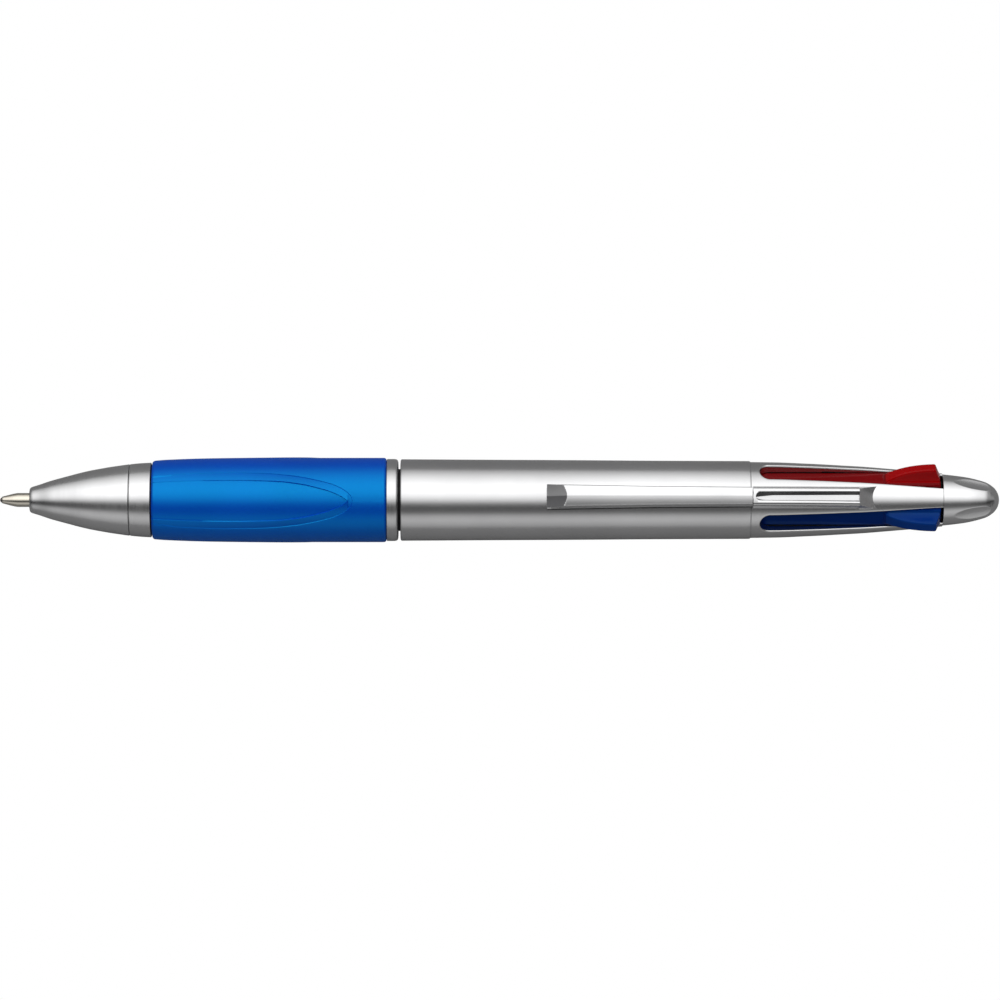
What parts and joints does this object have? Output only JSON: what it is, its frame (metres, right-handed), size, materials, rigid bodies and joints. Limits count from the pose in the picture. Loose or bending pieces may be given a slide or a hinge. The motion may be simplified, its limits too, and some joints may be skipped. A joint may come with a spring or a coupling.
{
  "type": "multicolour ballpoint pen",
  "caption": "Retractable multicolour ballpoint pen: sliding colour selectors in a slotted rear housing, soft grip sleeve, pocket clip and domed end cap.",
  "frame": {"origin": "front of the writing ball of the colour that is out, on the pen's axis", "axes": "+X runs along the pen from the writing point to the end cap, +Z points out through the pocket clip, +Y is the red and green side"},
  "size_m": [0.1479, 0.0125, 0.0142],
  "materials": {
    "silver_lacquer": "satin silver lacquer",
    "grip_rubber": "soft satin",
    "natural_plastic": "as moulded",
    "spring_steel": "drawn wire",
    "clear_tube": "translucent",
    "nickel_silver": "turned",
    "carbide": "polished",
    "red_plastic": "glossy",
    "red_ink": "ink paste",
    "blue_plastic": "glossy",
    "blue_ink": "ink paste",
    "green_plastic": "glossy",
    "green_ink": "ink paste",
    "black_plastic": "glossy",
    "black_ink": "ink paste"
  },
  "bodies": {
    "barrel": {"upper_barrel": "silver_lacquer", "slider_housing": "silver_lacquer", "clip_mount": "silver_lacquer", "end_cap": "silver_lacquer", "guide_core": "natural_plastic", "spring_plate": "natural_plastic", "spring_red": "spring_steel", "spring_blue": "spring_steel", "spring_green": "spring_steel", "spring_black": "spring_steel"},
    "front_section": {"nose_cone": "silver_lacquer", "lower_barrel": "silver_lacquer", "grip": "grip_rubber"},
    "clip": {"clip_arm": "silver_lacquer"},
    "slider_red": {"slider_red": "red_plastic", "tube_red": "clear_tube", "ink_red": "red_ink"},
    "tip_red": {"point_red": "nickel_silver", "ball_red": "carbide"},
    "slider_blue": {"slider_blue": "blue_plastic", "tube_blue": "clear_tube", "ink_blue": "blue_ink"},
    "tip_blue": {"point_blue": "nickel_silver", "ball_blue": "carbide"},
    "slider_green": {"slider_green": "green_plastic", "tube_green": "clear_tube", "ink_green": "green_ink"},
    "tip_green": {"point_green": "nickel_silver", "ball_green": "carbide"},
    "slider_black": {"slider_black": "black_plastic", "tube_black": "clear_tube", "ink_black": "black_ink"},
    "tip_black": {"point_black": "nickel_silver", "ball_black": "carbide"}
  },
  "joints": [
    {"name": "front_section_slide", "type": "slide", "parent": "barrel", "child": "front_section", "axis": [-1, 0, 0], "range_m": [0, 0.06]},
    {"name": "clip_flex", "type": "hinge", "parent": "barrel", "child": "clip", "pos_m": [0.1094, 0, 0.0057], "axis": [0, 1, 0], "range_deg": [0, 3], "stiffness_Nm_per_rad": 0.05},
    {"name": "slide_red", "type": "slide", "parent": "barrel", "child": "slider_red", "axis": [-1, 0, 0], "range_m": [0, 0.017], "stiffness_N_per_m": 40, "springref_m": -0.008, "deforming": ["spring_red", "tube_red", "ink_red", "point_red", "ball_red"]},
    {"name": "swing_in_red", "type": "slide", "parent": "slider_red", "child": "tip_red", "axis": [0, -0.7071, -0.7071], "range_m": [0, 0.0025]},
    {"name": "slide_blue", "type": "slide", "parent": "barrel", "child": "slider_blue", "axis": [-1, 0, 0], "range_m": [0, 0.017], "stiffness_N_per_m": 40, "springref_m": -0.008, "deforming": ["spring_blue", "tube_blue", "ink_blue", "point_blue", "ball_blue"]},
    {"name": "swing_in_blue", "type": "slide", "parent": "slider_blue", "child": "tip_blue", "axis": [0, 0.7071, -0.7071], "range_m": [0, 0.0025]},
    {"name": "slide_green", "type": "slide", "parent": "barrel", "child": "slider_green", "axis": [-1, 0, 0], "range_m": [0, 0.017], "stiffness_N_per_m": 40, "springref_m": -0.008, "deforming": ["spring_green", "tube_green", "ink_green", "point_green", "ball_green"]},
    {"name": "swing_in_green", "type": "slide", "parent": "slider_green", "child": "tip_green", "axis": [0, -0.7071, 0.7071], "range_m": [0, 0.0025]},
    {"name": "slide_black", "type": "slide", "parent": "barrel", "child": "slider_black", "axis": [-1, 0, 0], "range_m": [-0.017, 0], "stiffness_N_per_m": 40, "springref_m": -0.022, "deforming": ["spring_black", "tube_black", "ink_black", "point_black", "ball_black"]},
    {"name": "swing_in_black", "type": "slide", "parent": "slider_black", "child": "tip_black", "axis": [0, 0.7071, 0.7071], "range_m": [-0.0025, 0]}
  ],
  "couplings": [
    {"joint": "swing_in_red", "follows": "slide_red", "ratio": 0.14706},
    {"joint": "swing_in_blue", "follows": "slide_blue", "ratio": 0.14706},
    {"joint": "swing_in_green", "follows": "slide_green", "ratio": 0.14706},
    {"joint": "swing_in_black", "follows": "slide_black", "ratio": 0.14706}
  ]
}
